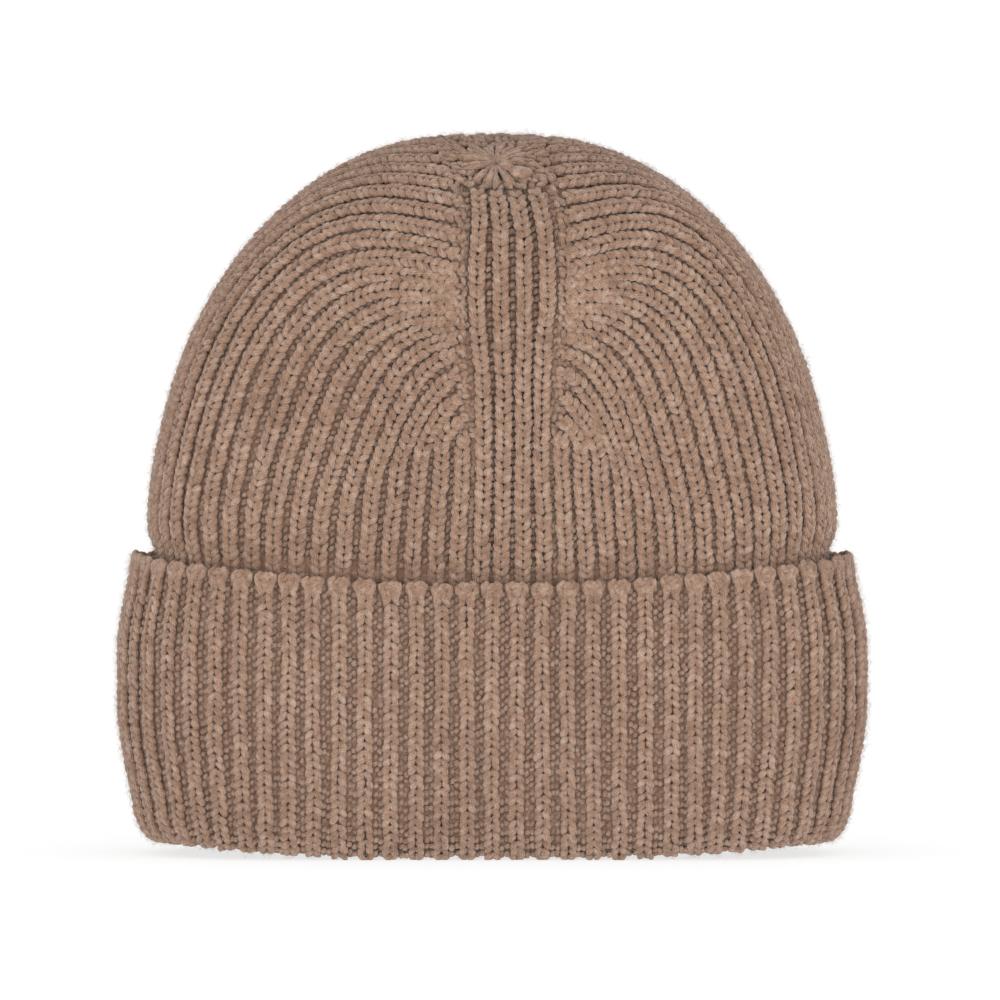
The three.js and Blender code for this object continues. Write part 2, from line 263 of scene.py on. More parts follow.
class Strands:
    """Collects plump pieces of yarn, all of one template, and makes them one mesh."""

    def __init__(self, around=8, rings=5):
        turns = np.arange(around) * 2 * math.pi / around
        ends = np.cos(np.linspace(math.pi, 0, rings + 2))[1:-1]
        reach = np.sqrt(1 - np.abs(ends) ** 2.4)
        verts = [(0, -1, 0)]
        for v, r in zip(ends, reach):
            verts.extend((r * math.cos(turn), v, r * math.sin(turn)) for turn in turns)
        verts.append((0, 1, 0))
        faces, corner_uvs = [], []
        last = len(verts) - 1

        def corner(ring, k):
            return 1 + ring * around + k % around, (k / around, (ends[ring] + 1) / 2)

        for k in range(around):
            middle = (k + 0.5) / around
            low, low_next = corner(0, k), corner(0, k + 1)
            faces.append([0, low[0], low_next[0]])
            corner_uvs.append([(middle, 0), low[1], low_next[1]])
            for ring in range(rings - 1):
                a, b = corner(ring, k), corner(ring, k + 1)
                c, d = corner(ring + 1, k + 1), corner(ring + 1, k)
                faces.append([a[0], d[0], c[0], b[0]])
                corner_uvs.append([a[1], d[1], c[1], b[1]])
            high, high_next = corner(rings - 1, k), corner(rings - 1, k + 1)
            faces.append([last, high_next[0], high[0]])
            corner_uvs.append([(middle, 1), high_next[1], high[1]])
        self.verts = np.array(verts, float)
        # This value is 1 on top of a strand's middle and falls towards its ends and sides. It is used as
        # painted light and shade: the top is painted lighter, the ends and sides darker.
        self.crest_for_painted_shade = self.verts[:, 2] * (1 - self.verts[:, 1] ** 2)  # 1 on top of the middle
        self.loops = np.concatenate([np.array(f) for f in faces])
        self.totals = np.array([len(f) for f in faces])
        self.corner_uvs = np.concatenate([np.array(c, float) for c in corner_uvs])
        self.batches = []

    def add(self, centre, axis, normal, half_width, half_length, half_height, bend=0.0):
        """Adds strands: `axis` is the way each runs and `normal` the way it stands proud."""
        count = len(centre)
        axis = axis / np.linalg.norm(axis, axis=1, keepdims=True)
        wide = np.cross(axis, normal)
        wide /= np.linalg.norm(wide, axis=1, keepdims=True)
        up = np.cross(wide, axis)
        halves = (half_width, half_length, half_height)
        size = [np.broadcast_to(np.asarray(half, float), count) for half in halves]
        bend = np.broadcast_to(np.asarray(bend, float), count)
        t = self.verts
        u = t[None, :, 0] * size[0][:, None] + bend[:, None] * (t[None, :, 1] ** 2 - 0.4)
        v = t[None, :, 1] * size[1][:, None]
        h = t[None, :, 2] * size[2][:, None]
        points = (
            centre[:, None]
            + u[..., None] * wide[:, None]
            + v[..., None] * axis[:, None]
            + h[..., None] * up[:, None]
        )
        self.batches.append(points)

    def piece(self, name, material, slot, node_names):
        points = np.concatenate(self.batches)
        count, per = points.shape[:2]
        shift = np.arange(count)[:, None]
        loops = (self.loops[None] + shift * per).ravel()
        totals = np.tile(self.totals, count)
        cells = math.ceil(math.sqrt(count))
        cell = np.stack([np.arange(count) % cells, np.arange(count) // cells], axis=1)
        inner = 0.08 + 0.84 * self.corner_uvs
        bake = (cell[:, None] + inner[None]) / cells
        turn = draw.random((count, 1, 1)) * 3
        yarn = self.corner_uvs[None] + np.concatenate([turn * 0, turn], axis=2)
        # Each strand's tone differs at random. Painted light and shade are added on top of that: the
        # strand's top is lighter, its ends and sides darker.
        tone_and_painted_shade = (TONE_SPREAD * draw.normal(0, 1, (count, 1)) + CREST_PAINTED_SHADE * (self.crest_for_painted_shade - 0.35)).ravel()
        faces = (points.reshape(-1, 3), loops, totals)
        build(name, faces, material, node_names, bake, yarn, tone_and_painted_shade)


def build(name, faces, material, node_names, bake=None, yarn=None, tone_and_painted_shade=None):
    """Makes a mesh of points, the loops of its faces and how many each face has."""
    points, loops, totals = faces
    mesh = bpy.data.meshes.new(name)
    mesh.vertices.add(len(points))
    mesh.vertices.foreach_set("co", (points * MM).ravel())
    mesh.loops.add(len(loops))
    mesh.loops.foreach_set("vertex_index", loops)
    mesh.polygons.add(len(totals))
    mesh.polygons.foreach_set("loop_start", np.concatenate([[0], np.cumsum(totals)[:-1]]))
    mesh.update(calc_edges=True)
    mesh.shade_smooth()
    for layer, values in (("OFBake", bake), ("yarn", yarn)):
        if values is not None:
            mesh.uv_layers.new(name=layer).uv.foreach_set("vector", values.ravel())
    if tone_and_painted_shade is not None:
        mesh.attributes.new("tone_and_painted_shade", "FLOAT", "POINT").data.foreach_set("value", tone_and_painted_shade)
    obj = bpy.data.objects.new(name, mesh)
    bpy.context.scene.collection.objects.link(obj)
    obj.data.materials.append(material)
    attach(obj, "root")
    if node_names:
        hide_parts(*node_names)
    return obj


def grid_piece(name, outer, inner, material, node_names, closed=False):
    """A thin closed sheet between two grids of points, joined round its rim.

    A closed sheet's columns meet again after the last one."""
    rows, columns = outer.shape[:2]
    points = np.concatenate([outer.reshape(-1, 3), inner.reshape(-1, 3)])
    index = np.arange(2 * rows * columns).reshape(2, rows, columns)
    if closed:
        index = np.concatenate([index, index[:, :, :1]], axis=2)
    top, back = index
    quads = [
        np.stack([top[:-1, :-1], top[:-1, 1:], top[1:, 1:], top[1:, :-1]], axis=-1).reshape(-1, 4),
        np.stack([back[:-1, :-1], back[1:, :-1], back[1:, 1:], back[:-1, 1:]], axis=-1).reshape(-1, 4),
        np.stack([back[0, :-1], back[0, 1:], top[0, 1:], top[0, :-1]], axis=-1),
        np.stack([top[-1, :-1], top[-1, 1:], back[-1, 1:], back[-1, :-1]], axis=-1),
    ]
    if not closed:
        quads += [
            np.stack([top[:-1, 0], top[1:, 0], back[1:, 0], back[:-1, 0]], axis=-1),
            np.stack([back[:-1, -1], back[1:, -1], top[1:, -1], top[:-1, -1]], axis=-1),
        ]
    faces = np.concatenate(quads)
    corners = points[faces]
    normals = np.cross(corners[:, 2] - corners[:, 0], corners[:, 3] - corners[:, 1])
    if (corners.mean(axis=1) * normals).sum() < 0:
        faces = faces[:, ::-1]
    totals = np.full(len(faces), 4)
    return build(name, (points, faces.ravel(), totals), material, node_names)


# --- Materials ---------------------------------------------------------------------------------


def srgb(red, green, blue):
    def linear(value):
        value /= 255
        return value / 12.92 if value <= 0.04045 else ((value + 0.055) / 1.055) ** 2.4

    return linear(red), linear(green), linear(blue), 1.0


class Nodes:
    """A short way to write a material's node tree."""

    def __init__(self, name):
        self.material = bpy.data.materials.new(name)
        self.material.use_nodes = True
        self.tree = self.material.node_tree
        self.shader = self.tree.nodes["Principled BSDF"]

    def add(self, kind, inputs=None, **settings):
        node = self.tree.nodes.new(kind)
        for key, value in settings.items():
            setattr(node, key, value)
        for key, value in (inputs or {}).items():
            self.put(node.inputs[key], value)
        return node

    def put(self, socket, value):
        if isinstance(value, bpy.types.NodeSocket):
            self.tree.links.new(value, socket)
        else:
            socket.default_value = value

    def math(self, operation, first, second=0.0):
        node = self.add("ShaderNodeMath", {0: first, 1: second}, operation=operation)
        return node.outputs[0]

    def total(self, start, *parts):
        """The sum of start and the parts, each a value and its weight.

        A noise counts from its middle."""
        for value, weight in parts:
            middle = 0.5 if value.node.bl_idname == "ShaderNodeTexNoise" else 0.0
            terms = {0: value, 1: weight, 2: -middle * weight}
            scaled = self.add("ShaderNodeMath", terms, operation="MULTIPLY_ADD")
            start = self.math("ADD", scaled.outputs[0], start)
        return start

    def noise(self, place, scale, detail, roughness=0.5):
        inputs = {"Vector": place, "Scale": scale, "Detail": detail, "Roughness": roughness}
        return self.add("ShaderNodeTexNoise", inputs).outputs["Fac"]


def yarn_material(name, dark, middle, light, plies=8):
    """Fuzzy wool: heathered in three tones, with the twist of its plies and loose fibres.

    `plies` is how many lines of twist are counted round the yarn, or 0 for a plain fabric."""
    n = Nodes(name)
    place = n.add("ShaderNodeTexCoord").outputs["Object"]
    heather = n.noise(place, 430.0, detail=3.0, roughness=0.65)
    patches = n.noise(place, 34.0, detail=2.0)
    fibres = n.noise(place, 2400.0, detail=2.0, roughness=0.7)
    # This attribute holds each strand's random tone together with its painted light and shade.
    tone_and_painted_shade = n.add("ShaderNodeAttribute", attribute_name="tone_and_painted_shade").outputs["Fac"]
    blend = n.total(0.5, (heather, HEATHER_TONE), (patches, 0.3), (fibres, FIBRE_TONE), (tone_and_painted_shade, 1.0))
    relief = n.total(0.0, (fibres, 0.6))
    if plies:
        yarn = n.add("ShaderNodeUVMap", uv_map="yarn").outputs["UV"]
        parts = n.add("ShaderNodeSeparateXYZ", {"Vector": yarn})
        turn = n.total(0.0, (parts.outputs["X"], plies), (parts.outputs["Y"], TWIST), (heather, 0.9))
        strand = n.math("SINE", n.math("MULTIPLY", turn, 2 * math.pi))
        blend = n.total(0.0, (blend, 1.0), (strand, PLY_TONE))
        relief = n.total(0.0, (relief, 1.0), (strand, 0.5))
    ramp = n.add("ShaderNodeValToRGB", {"Fac": blend})
    ramp.color_ramp.elements[0].position = 0.1
    ramp.color_ramp.elements[0].color = dark
    ramp.color_ramp.elements[1].position = 0.9
    ramp.color_ramp.elements[1].color = light
    ramp.color_ramp.elements.new(0.5).color = middle
    n.put(n.shader.inputs["Base Color"], ramp.outputs["Color"])
    bump = n.add("ShaderNodeBump", {"Height": relief, "Strength": 1.0, "Distance": RELIEF_DEPTH})
    n.put(n.shader.inputs["Normal"], bump.outputs["Normal"])
    n.shader.inputs["Roughness"].default_value = 0.95
    n.shader.inputs["Specular IOR Level"].default_value = 0.15
    n.shader.inputs["Sheen Weight"].default_value = 0.3
    n.shader.inputs["Sheen Roughness"].default_value = 0.6
    return n.material


TWIST = 2.1  # lines of twist passed along one leg of a stitch
RELIEF_DEPTH = 0.00015  # metres, of the twist's lines in the yarn
HEATHER_TONE, FIBRE_TONE, PLY_TONE = 1.3, 0.6, 0.09  # weights in a tone that goes from 0 to 1
TONE_SPREAD = 0.05  # how much the strands differ
# Painted light and shade: the top of each strand is painted lighter, and its ends and sides darker.
CREST_PAINTED_SHADE = 0.08  # how much lighter the top of a strand is than its ends and sides

KNIT = yarn_material("heathered_knit", srgb(107, 75, 54), srgb(138, 106, 84), srgb(167, 142, 124))
PURL = yarn_material("recessed_purl", srgb(108, 76, 56), srgb(137, 105, 83), srgb(165, 138, 119))
# The core is painted darker than the yarn as painted shade, because it shows only in the shaded hollows
# between the stitches.
SHADED_CORE = yarn_material("fabric_core_painted_shade", srgb(93, 65, 47), srgb(124, 94, 75), srgb(152, 123, 104), plies=0)
CORE_YARN = yarn_material(
    "untwisted_yarn", srgb(98, 69, 50), srgb(134, 104, 84), srgb(168, 142, 124), plies=0
)
LOOSE = yarn_material(
    "loose_fibres", srgb(138, 109, 90), srgb(179, 147, 127), srgb(219, 190, 170), plies=0
)


# --- Stitches ----------------------------------------------------------------------------------


class Path:
    """A line on the fabric with its outward normals, read at any distance from its start."""

    def __init__(self, points, outward):
        steps = np.linalg.norm(np.diff(points, axis=0), axis=1)
        self.reach = np.concatenate([[0], np.cumsum(steps)])
        self.length = self.reach[-1]
        self.points = points
        self.outward = outward
        self.forward = np.gradient(points, axis=0)

    def read(self, values, s):
        return np.stack([np.interp(s, self.reach, values[:, k]) for k in range(3)], axis=1)

    def at(self, s):
        """Points, forward directions, outward directions and rightward directions."""
        point, forward, outward = (self.read(v, s) for v in (self.points, self.forward, self.outward))
        forward /= np.linalg.norm(forward, axis=1, keepdims=True)
        outward -= (outward * forward).sum(axis=1, keepdims=True) * forward
        outward /= np.linalg.norm(outward, axis=1, keepdims=True)
        return point, forward, outward, np.cross(forward, outward)


LEG_WIDTH, LEG_LENGTH, LEG_HEIGHT = 1.1, 1.9, 1.12  # half sizes of a leg of a V
LEG_OFFSET = 1.17  # from the rib's middle to a leg's
LEG_SLANT = math.radians(31)
LEG_TUCK = 0.24  # how steeply a leg's far end dips under the next stitch
WANDER = 0.13  # how far a stitch strays from its place
FIBRES = 80000
FIBRE_PIECES = 5
FIBRE_RADIUS = 0.022
skin = []  # the middle, the way out and the run of every leg, for the loose fibres


def knit_rib(strands, path, start=0.0, end=None, size=1.0, closing=0.0):
    """A column of Vs that open the way the path runs. Over `closing` mm its end narrows."""
    end = path.length if end is None else end
    count = max(1, round((end - start) / ROW))
    s = start + (np.arange(count) + 0.5) * (end - start) / count
    point, forward, outward, right = path.at(s)
    narrow = 1 - 0.45 * smooth(s, end - closing, end) if closing else np.ones(count)
    slow, fast = draw.random() * 6.28, draw.random() * 6.28
    sway = 0.17 * np.sin(s / 17 + slow) + 0.09 * np.sin(s / 5 + fast)
    for hand in (-1, 1):
        stray = draw.normal(0, WANDER, (count, 3))
        slant = LEG_SLANT + draw.normal(0, 0.08, (count, 1))
        tuck = LEG_TUCK + draw.normal(0, 0.06, (count, 1))
        axis = forward * np.cos(slant) + hand * right * np.sin(slant) - outward * tuck
        across = hand * LEG_OFFSET * size * narrow + sway + stray[:, 0]
        centre = point + right * across[:, None] + forward * stray[:, 1:2] + outward * stray[:, 2:] * 0.6
        vary = size * (1 + draw.normal(0, 0.07, count))
        length = LEG_LENGTH * size * (1 + draw.normal(0, 0.06, count))
        normal = outward + hand * right * 0.3
        strands.add(centre, axis, normal, LEG_WIDTH * vary, length, LEG_HEIGHT * vary, -0.15 * hand)
        skin.append(np.stack([centre, outward, axis], axis=1))


def purl_column(strands, path, width, start=0.0, end=None, lean=28):
    """The slanting bumps that lie in the hollow between two ribs."""
    end = path.length if end is None else end
    count = max(1, round((end - start) / ROW))
    s = start + (np.arange(count) + 0.5) * (end - start) / count
    point, forward, outward, right = path.at(s)
    slant = math.radians(lean) + draw.normal(0, 0.25, (count, 1))
    axis = right * np.cos(slant) + forward * np.sin(slant)
    stray = draw.normal(0, 0.2, (count, 3))
    thick = 0.95 + draw.normal(0, 0.08, count)
    strands.add(point + stray, axis, outward, thick, width, thick, bend=0.2)


def tucked(above_edge):
    """How much deeper the body's stitches lie, `above_edge` mm above the cuff's edge."""
    return EDGE_TUCK * (1 - smooth(above_edge, -1, 4.5))


def gore_path(side, around, deep, start, end):
    """The line of a rib of the body and its gore."""
    along = np.linspace(start, end, 90)
    height = hat_point(side, along, around, deep)[:, 2]
    deep = deep + tucked(height - float(cuff_top(around)))
    lower = hat_point(side, along, around, deep + 0.5)
    upper = hat_point(side, along, around, deep - 0.5)
    return Path((lower + upper) / 2, upper - lower)


def end_of_gore_rib(around, clear):
    """Where along the outline a rib comes within `clear` mm of the band's edge."""
    inward = float(section(abs(around), 0)[0])
    edge = min(BAND_HALF_WIDTH + clear, 0.94 * (HALF_WIDTH - inward))
    tried = np.linspace(0, outline.length, 3000)
    x = outline.at(tried)[0] - outline.tangent(tried)[1] * inward
    past = np.nonzero(x < edge)[0]
    return tried[past[0]] if len(past) else outline.length


WIDENING = FACE_HALF - BAND_HALF_WIDTH - QUARTER_RIBS * BAND_PITCH


def body_place(k):
    """How far round the section the body's rib k lies, counted from the side's middle line."""
    inside = np.clip(k, 0, QUARTER_RIBS)
    wide = 2 * WIDENING / QUARTER_RIBS * (inside - inside**2 / (2 * QUARTER_RIBS))
    return BAND_PITCH * k + wide


def body_start(around):
    """The body's stitches start a little below the cuff's edge."""
    return float(cuff_top(around)) - BODY_OVERLAP - CROWN_BASE


def gore_stitches():
    for side, side_name in ((1, "right"), (-1, "left")):
        for face, face_name in ((1, "front"), (-1, "back")):
            knit, purl = Strands(), Strands(6, 3)
            for i in range(QUARTER_RIBS):
                around = face * body_place(i + 0.5)
                end = end_of_gore_rib(around, 4.1)
                path = gore_path(side, around, KNIT_DEEP, body_start(around), end)
                knit_rib(knit, path, closing=5.0)
                decrease(knit, path)
            for i in range(QUARTER_RIBS + 1):
                if i == 0 and face < 0:
                    continue
                around = face * body_place(i)
                end = end_of_gore_rib(around, 1.0)
                path = gore_path(side, around, BODY_PURL_DEEP, body_start(around), end)
                purl_column(purl, path, 1.3)
            nodes = [f"crown_gore_{side_name}", "body_tube"]
            knit.piece(f"gore_{side_name}_{face_name}_ribs", KNIT, "body_knit", nodes)
            purl.piece(f"gore_{side_name}_{face_name}_purl", PURL, "body_knit", nodes)


def decrease(strands, path):
    """The knot where two stitches of a rib are knitted into one, beside the band."""
    for along, across, turn in ((-0.4, 0.9, 65), (0.5, -0.8, 100), (1.7, 0.5, 40), (2.5, -0.9, 75)):
        point, forward, outward, right = path.at(np.array([path.length]))
        turn = math.radians(turn) + draw.normal(0, 0.35)
        axis = forward * math.cos(turn) + right * math.sin(turn) - outward * draw.normal(0.1, 0.15)
        centre = point + forward * (along + draw.normal(0, 0.2))
        centre += right * (across + draw.normal(0, 0.2)) - outward * (0.1 + 0.25 * along)
        strands.add(centre, axis, outward, 0.85, 1.5, 0.95, bend=draw.normal(0, 0.25))


def band_path(place, face, deep, first, last):
    """The line of a band's rib, upwards from the body to the gather."""
    down = np.linspace(last, first, 110)
    edge = band_bottom() + CROWN_BASE - CUFF_TOP_AT_SIDES + CUFF_SAG
    x = band_x(place, down)
    deep = deep + tucked(edge - down)
    lower = np.array([band_point(*spot) for spot in zip(x, face * down, deep + 0.5)])
    upper = np.array([band_point(*spot) for spot in zip(x, face * down, deep - 0.5)])
    return Path((lower + upper) / 2, upper - lower)


def band_bottom():
    return rounding.length + HEIGHT - SIDE_ROUNDING - CROWN_BASE


def band_stitches():
    for face, face_name in ((-1, "front"), (1, "back")):
        knit, purl = Strands(), Strands(6, 3)
        last = band_bottom() + 22
        first = 10.2 if face < 0 else 27.0
        for i in range(4):
            x = (i - 1.5) * BAND_PITCH
            knit_rib(knit, band_path(x, face, BAND_KNIT_DEEP, first, last), closing=4.0)
        for i in range(5):
            x = (i - 2) * BAND_PITCH
            purl_column(purl, band_path(x, face, BAND_PURL_DEEP, first, last), 1.2)
        for hand in (-1, 1):
            for beside, deep in ((0.9, 3.0), (2.2, 2.5), (3.6, 2.5)):
                path = band_path(hand * (BAND_HALF_WIDTH + beside), face, deep, first, band_bottom() - 20)
                purl_column(purl, path, 1.15, lean=-35 * hand)
        knit.piece(f"band_{face_name}_ribs", KNIT, "body_knit", [f"crown_band_{face_name}"])
        purl.piece(f"band_{face_name}_purl", PURL, "body_knit", [f"crown_band_{face_name}"])


# --- The cuff ----------------------------------------------------------------------------------


def cuff_profile(around, deep):
    """The way from the cuff's edge down, round the fold and up inside, `deep` in the fabric.

    Returns [deep, height] pairs and the way out of the fabric at each."""
    top = float(cuff_top(around)) - 1.6
    walls = np.linspace(top, FOLD_TOP, 60)
    outside, inside = float(cuff_inset(FOLD_TOP)), float(body_inset(FOLD_TOP)) + FABRIC
    middle, half = (outside + inside) / 2, (inside - outside) / 2
    angle = np.linspace(-math.pi / 2, math.pi / 2, 60)[1:-1]
    power = np.where(angle < 0, FOLD_POWER, 2)
    across = np.sign(angle) * np.abs(np.sin(angle)) ** (2 / power)
    drop = np.minimum(1, FOLD_FLATTENING * np.cos(angle) ** (2 / power))
    up = np.linspace(FOLD_TOP, BRIM_TOP_INSIDE, 12)
    depth = np.concatenate([cuff_inset(walls), middle + half * across, body_inset(up) + FABRIC])
    height = np.concatenate([walls, FOLD_TOP * (1 - drop), up])
    slope_depth, slope_height = np.gradient(depth), np.gradient(height)
    size = np.hypot(slope_depth, slope_height)
    way_out = np.stack([slope_height, -slope_depth], axis=1) / size[:, None]
    return np.stack([depth, height], axis=1) - deep * way_out, way_out


def cuff_place(k):
    """How far round the section the cuff's rib k lies, counted from the side's middle line."""
    bulge = -float(cuff_inset(50.0))
    rounded = rounding.length + bulge * math.pi / 2
    total = rounded + FACE_HALF - rounding.length
    count = QUARTER_RIBS
    wide = 2 * (total - count * CUFF_PITCH) / count * (k - k**2 / (2 * count))
    reach = CUFF_PITCH * k + wide
    return reach * rounding.length / rounded if reach < rounded else rounding.length + reach - rounded


def cuff_path(side, around, deep, at_fold=None):
    """The line of a rib or hollow of the cuff, down from its edge. The fold can be less deep."""
    profile, way_out = cuff_profile(around, deep)
    if at_fold is not None:
        profile = profile + way_out * ((deep - at_fold) * (1 - smooth(profile[:, 1], 1, 9)))[:, None]
    low = ring_point(side, around, profile[:, 0], profile[:, 1])
    out = profile + way_out * 0.5
    return Path(low, ring_point(side, around, out[:, 0], out[:, 1]) - low)


def cuff_places(offset):
    """(side, around, quadrant) of every rib of the cuff, or of every hollow between them."""
    count = QUARTER_RIBS
    for side in (1, -1):
        for face in (1, -1):
            for i in range(count):
                k = i + offset
                if offset == 0 and (i == 0 and face < 0):
                    continue
                yield side, face * cuff_place(k), (side, face)
    if offset == 0:
        for face in (1, -1):
            yield 1, face * cuff_place(float(count)), (1, face)


def cuff_stitches():
    names = {
        (1, 1): "right_front",
        (1, -1): "right_back",
        (-1, 1): "left_front",
        (-1, -1): "left_back",
    }
    knit = {key: Strands() for key in names}
    purl = {key: Strands(6, 3) for key in names}
    edge = Strands()
    for side, around, key in cuff_places(0):
        path = cuff_path(side, around, KNIT_DEEP)
        knit_rib(knit[key], path, start=4.0, size=0.94)
        cast_on_lobe(edge, path)
    for side, around, key in cuff_places(0.5):
        for beside, start, lean in ((0.85, 1.4, 32), (-0.85, 2.5, 24)):
            place = around + beside * np.sign(around) * side
            path = cuff_path(side, place, CUFF_PURL_DEEP, at_fold=FOLD_PURL_DEEP)
            purl_column(purl[key], path, 1.05, start=start, lean=lean)
    for key, name in names.items():
        knit[key].piece(f"cuff_{name}_ribs", KNIT, "cuff_knit", ["turned_up_cuff", "brim_fold"])
        purl[key].piece(f"cuff_{name}_purl", PURL, "cuff_knit", ["turned_up_cuff", "brim_fold"])
    edge.piece("cast_on_lobes", KNIT, "edge_knit", ["cast_on_edge"])


def cast_on_lobe(strands, path):
    """The rounded lobe at the top of a cuff's rib: legs that flare and turn in over a knot."""
    low = draw.normal(0, 0.22)
    pieces = (  # across, along, turn from the way down, half length
        (1.5, 4.3, 12, 1.7),
        (1.95, 2.7, 14, 1.7),
        (2.5, 1.25, 8, 1.5),
        (1.85, 0.1, -50, 1.4),
        (0.75, 2.9, 26, 1.6),
    )
    for hand in (-1, 1):
        for across, along, turn, half_length in pieces:
            along += low + draw.normal(0, 0.12)
            point, forward, outward, right = path.at(np.array([max(along, 0.0)]))
            turn = math.radians(turn) + draw.normal(0, 0.14)
            axis = forward * math.cos(turn) - hand * right * math.sin(turn)
            across += draw.normal(0, 0.12)
            centre = point + hand * right * across + forward * min(along, 0.0)
            strands.add(centre + outward * 0.05, axis, outward, 0.88, half_length, 1.05, bend=0.2 * hand)
            skin.append(np.stack([centre, outward, axis], axis=1))
    for along, across in ((0.05, -0.1), (0.9, 0.75), (1.05, -0.85), (2.0, -0.2)):
        point, forward, outward, right = path.at(np.array([max(along + low, 0.0)]))
        axis = right + forward * draw.normal(0.3, 0.5)
        strands.add(point + outward * 0.2 + right * across, axis, outward, 0.85, 1.35, 1.05)


# --- The core of the fabric --------------------------------------------------------------------


def reach_of_gore(along, edge):
    """How far round the section the gore reaches before it meets the band."""
    x, _ = outline.at(max(along, 0))
    _, up_z = outline.tangent(max(along, 0))
    if along <= 0:
        up_z = 1.0
    inward = max(0.0, (x - edge) / max(float(up_z), 1e-3))
    if inward >= SIDE_ROUNDING:
        return rounding.length + inward - SIDE_ROUNDING
    return float(np.interp(inward, rounding.first, rounding.even))


def relief(ribs, along):
    """How deep the core's two faces lie. `ribs` is counted across and is whole on an outer rib."""
    rib = np.cos(2 * math.pi * ribs)
    row = 0.28 * np.cos(2 * math.pi * (along / ROW + 0.35 * np.abs(np.sin(math.pi * ribs))))
    return CORE_DEEP - 0.45 * rib, FABRIC - 0.5 - 0.8 * rib + row


def sheet_piece(name, faces, node_names, closed=False):
    """A core of fabric, made as a thin closed sheet between its outer and inner faces. A
    core of fabric, declared as a sheet of the size that its own outer face measures.
    """
    outer, inner = faces
    piece = grid_piece(name, outer, inner, SHADED_CORE, node_names, closed)


def gore_cores():
    columns = 2 * QUARTER_RIBS * 6
    counted = np.linspace(0, QUARTER_RIBS + 4, 200)
    for side, side_name in ((1, "right"), (-1, "left")):
        last = outline.length - BAND_HALF_WIDTH + 2
        up_the_body = np.linspace(FOLD_TOP - CROWN_BASE, 0, 70)[:-1]
        up_the_crown = last * (1 - (1 - np.linspace(0, 1, 90)) ** 1.3)
        outer, inner = [], []
        for along in np.concatenate([up_the_body, up_the_crown]):
            around = reach_of_gore(along, BAND_HALF_WIDTH - 1.0) * np.linspace(-1, 1, columns)
            ribs = np.interp(np.abs(around), body_place(counted), counted) - 0.5
            upper, lower = relief(ribs, along)
            outer.append(hat_point(side, along, around, upper))
            inner.append(hat_point(side, along, around, lower))
        nodes = [f"crown_gore_{side_name}", "body_tube"]
        faces = (np.array(outer), np.array(inner))
        sheet_piece(f"gore_{side_name}_core", faces, nodes)


def band_cores():
    furthest = band_bottom() + CROWN_BASE - FOLD_TOP
    across = np.linspace(-BAND_HALF_WIDTH - 1, BAND_HALF_WIDTH + 1, 40)
    out = np.linspace(19, furthest, 90)
    downs = np.concatenate([-out[::-1], np.linspace(-18, 18, 30), out])
    parts = (("front", downs < -6, 0.3), ("back", downs > 6, 0.3), ("gather", np.abs(downs) < 8, 0.15))
    for name, part, below in parts:
        outer, inner = [], []
        for down in downs[part]:
            upper, lower = relief(across / float(band_x(BAND_PITCH, abs(down))) - 0.5, down)
            outer.append([band_point(x, down, deep + below) for x, deep in zip(across, upper)])
            inner.append([band_point(x, down, deep + below) for x, deep in zip(across, lower)])
        node = "crown_gather" if name == "gather" else f"crown_band_{name}"
        faces = (np.array(outer), np.array(inner))
        sheet_piece(f"band_{name}_core", faces, [node])


def brim_core():
    count = 4 * QUARTER_RIBS * 5
    half = count // 2
    counted = np.linspace(0, QUARTER_RIBS, 200)
    places = [cuff_place(k) for k in counted]
    outer, inner = [], []
    for j in range(count):
        side = 1 if j < half else -1
        around = side * ((j % half) / half * 2 - 1) * FACE_HALF
        upper = float(relief(np.interp(abs(around), places, counted), 0.0)[0])
        profile, way_out = cuff_profile(around, upper)
        back = profile - way_out * (FABRIC - upper)
        outer.append(ring_point(side, around, profile[:, 0], profile[:, 1]))
        inner.append(ring_point(side, around, back[:, 0], back[:, 1]))
    nodes = ["turned_up_cuff", "brim_fold", "cast_on_edge"]
    faces = tuple(np.array(face).transpose(1, 0, 2) for face in (outer, inner))
    sheet_piece("brim_core", faces, nodes, closed=True)


# --- The gathered crown ------------------------------------------------------------------------


def gather_spot(x, down, deep):
    """A point x and down from the gathered point, and the way out of the fabric there."""
    lower = band_point(x, down + GATHER_DOWN, deep + 0.5)
    upper = band_point(x, down + GATHER_DOWN, deep - 0.5)
    return (lower + upper) / 2, upper - lower


def lay(strands, start, end, width, bend):
    """A strand between two places by the gather, each given as x, down and deep."""
    ends = [gather_spot(*place) for place in (start, end)]
    axis = ends[1][0] - ends[0][0]
    centre = (ends[0][0] + ends[1][0]) / 2
    normal = ends[0][1] + ends[1][1]
    half_length = np.linalg.norm(axis) / 2 + 0.2
    strands.add(centre[None], axis[None], normal[None], width, half_length, 1.1, bend)
    skin.append(np.stack([centre, normal / np.linalg.norm(normal), axis])[None])


